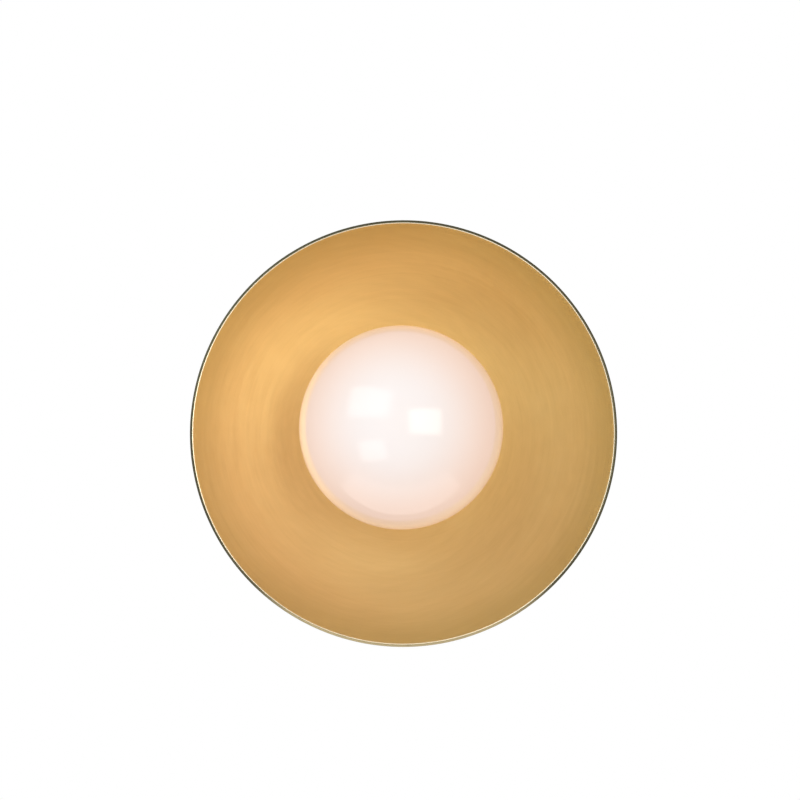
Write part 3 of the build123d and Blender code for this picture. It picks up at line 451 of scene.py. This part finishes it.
contact = Finish("contact_brass", {"Metallic": 1.0})
contact_marks = contact.noise(scale=1800.0, detail=3.0)
contact.feed("Base Color", contact.mix(contact_marks, *CONTACT_TONES))
contact.feed("Roughness", 0.18 + 0.2 * contact_marks)
contact.bump(contact_marks, strength=0.2)
paint(contact, "lampholder_contacts", "terminal_inserts")


# Terminal block and lamp base: moulded white plastic with a fine spark eroded skin. Two zinc
# plated screws hold the block to the pan, and six clamp the wires in it.
PLASTIC_TONES = (0.78, 0.78, 0.76, 1), (0.86, 0.86, 0.85, 1)

plastic = Finish("white_plastic", {"Metallic": 0.0})
plastic_skin = plastic.noise(scale=3000.0, detail=2.0)
plastic_cloud = plastic.noise(scale=60.0, detail=3.0)
plastic.feed("Base Color", plastic.mix(plastic_cloud, *PLASTIC_TONES))
plastic.feed("Roughness", 0.32 + 0.18 * plastic_skin)
plastic.bump(plastic_skin, strength=0.25)
paint(plastic, "terminal_block", "lamp_base")
paint(zinc, "terminal_screws", "terminal_block_screws")


# Leads: stranded copper in a soft coloured sleeve. Brown is live, blue is neutral, and the
# earth lead is green with a yellow stripe along it, and ends in a ring terminal.
BROWN_TONES = (0.13, 0.055, 0.025, 1), (0.20, 0.085, 0.04, 1)
BLUE_TONES = (0.03, 0.10, 0.36, 1), (0.05, 0.16, 0.50, 1)
EARTH_TONES = (0.06, 0.30, 0.05, 1), (0.11, 0.42, 0.08, 1)
EARTH_YELLOW = (0.75, 0.62, 0.05, 1)
STRIPE_ZONE = (0.52, 0.60)


def sleeve(name, tones, stripe_colour=None):
    """A soft sleeve in two tones of a colour, with a stripe on its wall side where one is given."""
    made = Finish(name, {"Metallic": 0.0, "Coat Weight": 0.15})
    skin = made.noise(scale=900.0, detail=3.0)
    colour = made.mix(skin, *tones)
    if stripe_colour:
        facing = made.node("ShaderNodeTexCoord", {}, {}, "Normal")
        to_wall = made.node("ShaderNodeSeparateXYZ", {}, {0: facing}, "Y")
        colour = made.mix(made.fade(to_wall, *STRIPE_ZONE), colour, stripe_colour)
    made.feed("Base Color", colour)
    made.feed("Roughness", 0.36 + 0.2 * skin)
    made.bump(skin, strength=0.12)
    return made


paint(sleeve("brown_sleeve", BROWN_TONES), "live_lead")
paint(sleeve("blue_sleeve", BLUE_TONES), "neutral_lead")
paint(sleeve("green_sleeve", EARTH_TONES, EARTH_YELLOW), "earth_lead")
paint(zinc, "earth_lug")


# Lamp: two pin push-in lamp. Bright plated pins, a frosted tube and inside it a strip with
# its light sources under a yellow coating.
TUBE_TONES = (0.86, 0.85, 0.80, 1), (0.94, 0.93, 0.89, 1)
STRIP_TONES = (0.80, 0.62, 0.16, 1), (0.90, 0.76, 0.28, 1)

tube = Finish("frosted_tube", {"Metallic": 0.0})
frost = tube.noise(scale=2400.0, detail=3.0)
tube.feed("Base Color", tube.mix(frost, *TUBE_TONES))
tube.feed("Roughness", 0.40 + 0.15 * frost)
tube.bump(frost, strength=0.2)
paint(tube, "lamp_envelope")
strip = Finish("coated_strip", {"Metallic": 0.0})
strip_grain = strip.noise(scale=1500.0, detail=2.0)
strip.feed("Base Color", strip.mix(strip_grain, *STRIP_TONES))
strip.feed("Roughness", 0.45 + 0.2 * strip_grain)
paint(strip, "lamp_board")
paint(zinc, "lamp_pins")


# Globe seal: moulded ring of pale silicone, which lies in the fitter. The end of the neck is
# screwed down on it.
SILICONE_TONES = (0.70, 0.70, 0.68, 1), (0.80, 0.80, 0.78, 1)

silicone = Finish("pale_silicone", {"Metallic": 0.0})
silicone_skin = silicone.noise(scale=800.0, detail=3.0)
silicone.feed("Base Color", silicone.mix(silicone_skin, *SILICONE_TONES))
silicone.feed("Roughness", 0.42 + 0.2 * silicone_skin)
paint(silicone, "globe_seal")


# Globe: opal glass blown in a mould, 3 mm thick, with a glossy skin. The neck carries one
# round and a quarter of coarse thread, and its end is fire polished.
GLOBE_STEPS = 84
WAIST_STEPS = 10
LIP_STEPS = 8
GLOBE_RADIUS = 70.0
GLOBE_CENTRE = (0.0, 109.551)
GLASS_WALL = 3.0
NECK_RADIUS = 41.0
NECK_END = 25.0
NECK_ROUND = 1.2
NECK_LENGTH = 22
BORE_LENGTH = 20
LIP_LENGTH = 2
WAIST = 4.0
THREAD_PITCH = 7.0
THREAD_TURNS = 1.25
THREAD_START = 29.5
THREAD_HEIGHT = 1.8
THREAD_ROOT = 4.1
THREAD_CREST = 1.8
THREAD_BITE = 0.8

waist_across = NECK_RADIUS + WAIST
waist_back = GLOBE_CENTRE[1] - sqrt((GLOBE_RADIUS + WAIST) ** 2 - waist_across**2)
waist_turn = degrees(acos(waist_across / (GLOBE_RADIUS + WAIST)))
inner = NECK_RADIUS - GLASS_WALL
inner_turn = degrees(acos(inner / (GLOBE_RADIUS - GLASS_WALL)))
lip = NECK_END + NECK_ROUND
globe = turned(
    "globe_glass",
    arc(GLOBE_CENTRE, GLOBE_RADIUS, 90, -waist_turn, GLOBE_STEPS)
    + arc((waist_across, waist_back), WAIST, 180 - waist_turn, 180, WAIST_STEPS)[1:]
    + [(NECK_RADIUS, NECK_END + NECK_LENGTH), (NECK_RADIUS, NECK_END + LIP_LENGTH)]
    + arc((NECK_RADIUS - NECK_ROUND, lip), NECK_ROUND, 0, -90, LIP_STEPS)
    + arc((inner + NECK_ROUND, lip), NECK_ROUND, -90, -180, LIP_STEPS)
    + [(inner, NECK_END + LIP_LENGTH), (inner, NECK_END + BORE_LENGTH)]
    + arc(GLOBE_CENTRE, GLOBE_RADIUS - GLASS_WALL, -inner_turn, 90, GLOBE_STEPS),
)
section = [
    (NECK_RADIUS - THREAD_BITE, -THREAD_ROOT / 2),
    (NECK_RADIUS + THREAD_HEIGHT, -THREAD_CREST / 2),
    (NECK_RADIUS + THREAD_HEIGHT, THREAD_CREST / 2),
    (NECK_RADIUS - THREAD_BITE, THREAD_ROOT / 2),
]
corners = [Vector((0.0, -(THREAD_START + along) * MM, -radius * MM)) for radius, along in section]
thread = drawn("thread", corners)
bpy.ops.object.mode_set(mode="OBJECT")
wind = thread.modifiers.new("wind", "SCREW")
wind.axis = "Y"
wind.angle = -2 * pi * THREAD_TURNS
wind.screw_offset = -THREAD_PITCH * THREAD_TURNS * MM
wind.steps = wind.render_steps = round(SPIN_STEPS * THREAD_TURNS / 2)
wind.use_normal_calculate = False
bpy.ops.object.modifier_apply(modifier=wind.name)
bpy.ops.object.mode_set(mode="EDIT")
bpy.ops.mesh.select_all(action="SELECT")
bpy.ops.mesh.fill_holes(sides=0)
bpy.ops.mesh.select_all(action="SELECT")
bpy.ops.mesh.normals_make_consistent(inside=False)
bpy.ops.object.mode_set(mode="OBJECT")
combine(globe, thread, "UNION")
smooth(globe)

# A warmer tint away from the front, a peach sheen and a very faint glow stand for the light
# that scatters in the glass.
OPAL_PALE_TONES = (0.848, 0.776, 0.772, 1), (0.878, 0.804, 0.800, 1)
OPAL_WARM_TONES = (0.960, 0.722, 0.600, 1), (0.985, 0.750, 0.624, 1)
OPAL_GLOWS = (0, 0, 0, 1), (0.036, 0.002, 0.0, 1)
OPAL_SHEEN = (1.0, 0.56, 0.32, 1)
OPAL_FRONT = 179.7
WARM_ZONE = (0.12, 0.60)

opal = Finish("warm_opal", {
    "Roughness": 0.06, "IOR": 1.46, "Emission Strength": 1.0,
    "Sheen Weight": 0.6, "Sheen Roughness": 0.5, "Sheen Tint": OPAL_SHEEN,
})
opal_cloud = opal.noise(scale=14.0, detail=3.0)
_, opal_y, _ = opal.axes()
from_front = (opal_y + OPAL_FRONT * MM) / (2 * GLOBE_RADIUS * MM)
warm = opal.fade(from_front**0.5, *WARM_ZONE)
opal_pale = opal.mix(opal_cloud, *OPAL_PALE_TONES)
opal_warm = opal.mix(opal_cloud, *OPAL_WARM_TONES)
opal.feed("Base Color", opal.mix(warm, opal_pale, opal_warm))
opal.feed("Emission Color", opal.mix(warm, *OPAL_GLOWS))
globe.data.materials.append(opal.material)
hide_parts("globe")
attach(globe, "globe")


# Stage: a plain pale floor, far enough below the light to stay out of the picture. Shiny
# pieces see it as white as the air, and it keeps the shadow.
FLOOR_HEIGHT = -1.4
FLOOR_SIZE = 8.0
FLOOR_TONES = (0.80, 0.80, 0.79, 1), (0.84, 0.84, 0.83, 1)
FLOOR_FADE = (0.3, 3.2)
NEAR_SHARE = 0.5

bpy.ops.object.select_all(action="DESELECT")
bpy.ops.mesh.primitive_plane_add(size=FLOOR_SIZE, location=(0.0, 0.0, FLOOR_HEIGHT))
floor = bpy.context.object
floor.name = "floor"
pale = Finish("pale_floor", {"Roughness": 0.7})
pale.feed("Base Color", pale.mix(pale.noise(scale=3.0, detail=2.0), *FLOOR_TONES))
seen_straight = pale.node("ShaderNodeLightPath", {}, {}, "Is Camera Ray")
glossy = pale.node("ShaderNodeLightPath", {}, {}, "Is Glossy Ray")
through = pale.node("ShaderNodeLightPath", {}, {}, "Is Transmission Ray")
floor_x, floor_y, _ = pale.axes()
run_out = pale.fade((floor_x * floor_x + floor_y * floor_y) ** 0.5, *FLOOR_FADE)
glow = pale.node("ShaderNodeEmission", {}, {"Strength": 1.0})
plain = Amount(pale, pale.shader.outputs[0])
share = glossy + through + seen_straight * (NEAR_SHARE + (1.0 - NEAR_SHARE) * run_out)
shown = pale.node("ShaderNodeMixShader", {}, {0: share, 1: plain, 2: glow})
pale.tree.links.new(shown.socket, pale.tree.nodes["Material Output"].inputs["Surface"])
floor.data.materials.append(pale.material)


# Lights: three soft boxes round the camera, which show in the globe, and white air. A low card
# is there for reflections only, and two weak fills show in none. The cloth of each of them is
# brightest in the middle and falls off towards its edges.
SKY_STRENGTH = 0.58


class Cloth(Finish):
    """The lit cloth of a soft box, whose strength falls off towards the edges."""

    def __init__(self, light, border):
        light.use_nodes = True
        self.tree = light.node_tree
        self.shader = self.tree.nodes["Emission"]
        over = self.node("ShaderNodeNewGeometry", {}, {}, "Parametric")
        across, along = [self.node("ShaderNodeSeparateXYZ", {}, {0: over}, axis) for axis in "XY"]
        left, right = self.fade(across, 0.0, border), self.fade(across, 1.0, 1.0 - border)
        low, high = self.fade(along, 0.0, border), self.fade(along, 1.0, 1.0 - border)
        self.feed("Strength", left * right * low * high)


def soft_box(name, azimuth, height, distance, width, length, radiance, border, tint=(1, 1, 1)):
    """An area light that faces the globe from a direction in degrees, right and up of the axis."""
    target = Vector((0.0, -GLOBE_CENTRE[1] * MM, 0.0))
    level = cos(radians(height))
    toward = Vector((
        sin(radians(azimuth)) * level, -cos(radians(azimuth)) * level, sin(radians(height))
    ))
    light = bpy.data.lights.new(name, "AREA")
    light.shape = "RECTANGLE"
    light.size = width
    light.size_y = length
    light.energy = radiance * pi * width * length
    light.color = tint
    Cloth(light, border)
    lamp = bpy.data.objects.new(name, light)
    bpy.context.collection.objects.link(lamp)
    lamp.location = target + toward * distance
    lamp.rotation_euler = (-toward).to_track_quat("-Z", "Y").to_euler()
    lamp.visible_camera = False
    return lamp


soft_box(
    "box_upper_left", azimuth=-36.0, height=24.0, distance=1.4, width=1.50, length=0.98,
    radiance=2.2, border=0.20, tint=(0.80, 0.96, 1.0),
)
soft_box(
    "box_right", azimuth=28.0, height=3.5, distance=1.4, width=1.10, length=0.82,
    radiance=3.9, border=0.20, tint=(1.0, 0.945, 0.84),
)
soft_box(
    "box_lower_left", azimuth=-33.0, height=-27.0, distance=1.4, width=0.86, length=0.64,
    radiance=1.9, border=0.18,
)
low_card = soft_box(
    "low_card", azimuth=0.0, height=-90.0, distance=0.5, width=1.10, length=0.42,
    radiance=1.0, border=0.05,
)
low_card.visible_diffuse = False
low_fill = soft_box(
    "low_fill", azimuth=0.0, height=-62.0, distance=1.2, width=0.90, length=0.60,
    radiance=0.62, border=0.10, tint=(1.0, 0.97, 0.93),
)
low_fill.visible_glossy = False
left_fill = soft_box(
    "left_fill", azimuth=-88.0, height=0.0, distance=1.2, width=0.80, length=0.90,
    radiance=0.36, border=0.10, tint=(1.0, 0.93, 0.88),
)
left_fill.visible_glossy = False

world = bpy.data.worlds.new("white_air")
bpy.context.scene.world = world
world.use_nodes = True
air = world.node_tree
seen = air.nodes.new("ShaderNodeLightPath")
sky = air.nodes["Background"]
white = air.nodes.new("ShaderNodeBackground")
white.inputs["Color"].default_value = (1, 1, 1, 1)
white.inputs["Strength"].default_value = 1.0
sky.inputs["Color"].default_value = (1, 1, 1, 1)
sky.inputs["Strength"].default_value = SKY_STRENGTH
either = air.nodes.new("ShaderNodeMath")
either.operation = "MAXIMUM"
any_ray = air.nodes.new("ShaderNodeMath")
any_ray.operation = "MAXIMUM"
choice = air.nodes.new("ShaderNodeMixShader")
air.links.new(seen.outputs["Is Camera Ray"], either.inputs[0])
air.links.new(seen.outputs["Is Glossy Ray"], either.inputs[1])
air.links.new(either.outputs[0], any_ray.inputs[0])
air.links.new(seen.outputs["Is Transmission Ray"], any_ray.inputs[1])
air.links.new(any_ray.outputs[0], choice.inputs["Fac"])
air.links.new(sky.outputs[0], choice.inputs[1])
air.links.new(white.outputs[0], choice.inputs[2])
air.links.new(choice.outputs[0], air.nodes["World Output"].inputs["Surface"])


# Camera: a long lens a little below and to the right of the axis, as in the photograph. Its
# place and view were fitted to the outlines of dish and globe.
CAMERA_PLACE = (0.032392, -1.435168, -0.077974)
CAMERA_VIEW = (-0.024939, 0.997031, 0.072848)
SENSOR_WIDTH = 36.0
LENS = 87.1352

camera = bpy.data.cameras.new("camera")
camera.sensor_width = SENSOR_WIDTH
camera.lens = LENS
viewer = bpy.data.objects.new("camera", camera)
bpy.context.collection.objects.link(viewer)
viewer.location = CAMERA_PLACE
viewer.rotation_euler = Vector(CAMERA_VIEW).to_track_quat("-Z", "Y").to_euler()
bpy.context.scene.camera = viewer
bpy.context.scene.view_settings.view_transform = "Standard"
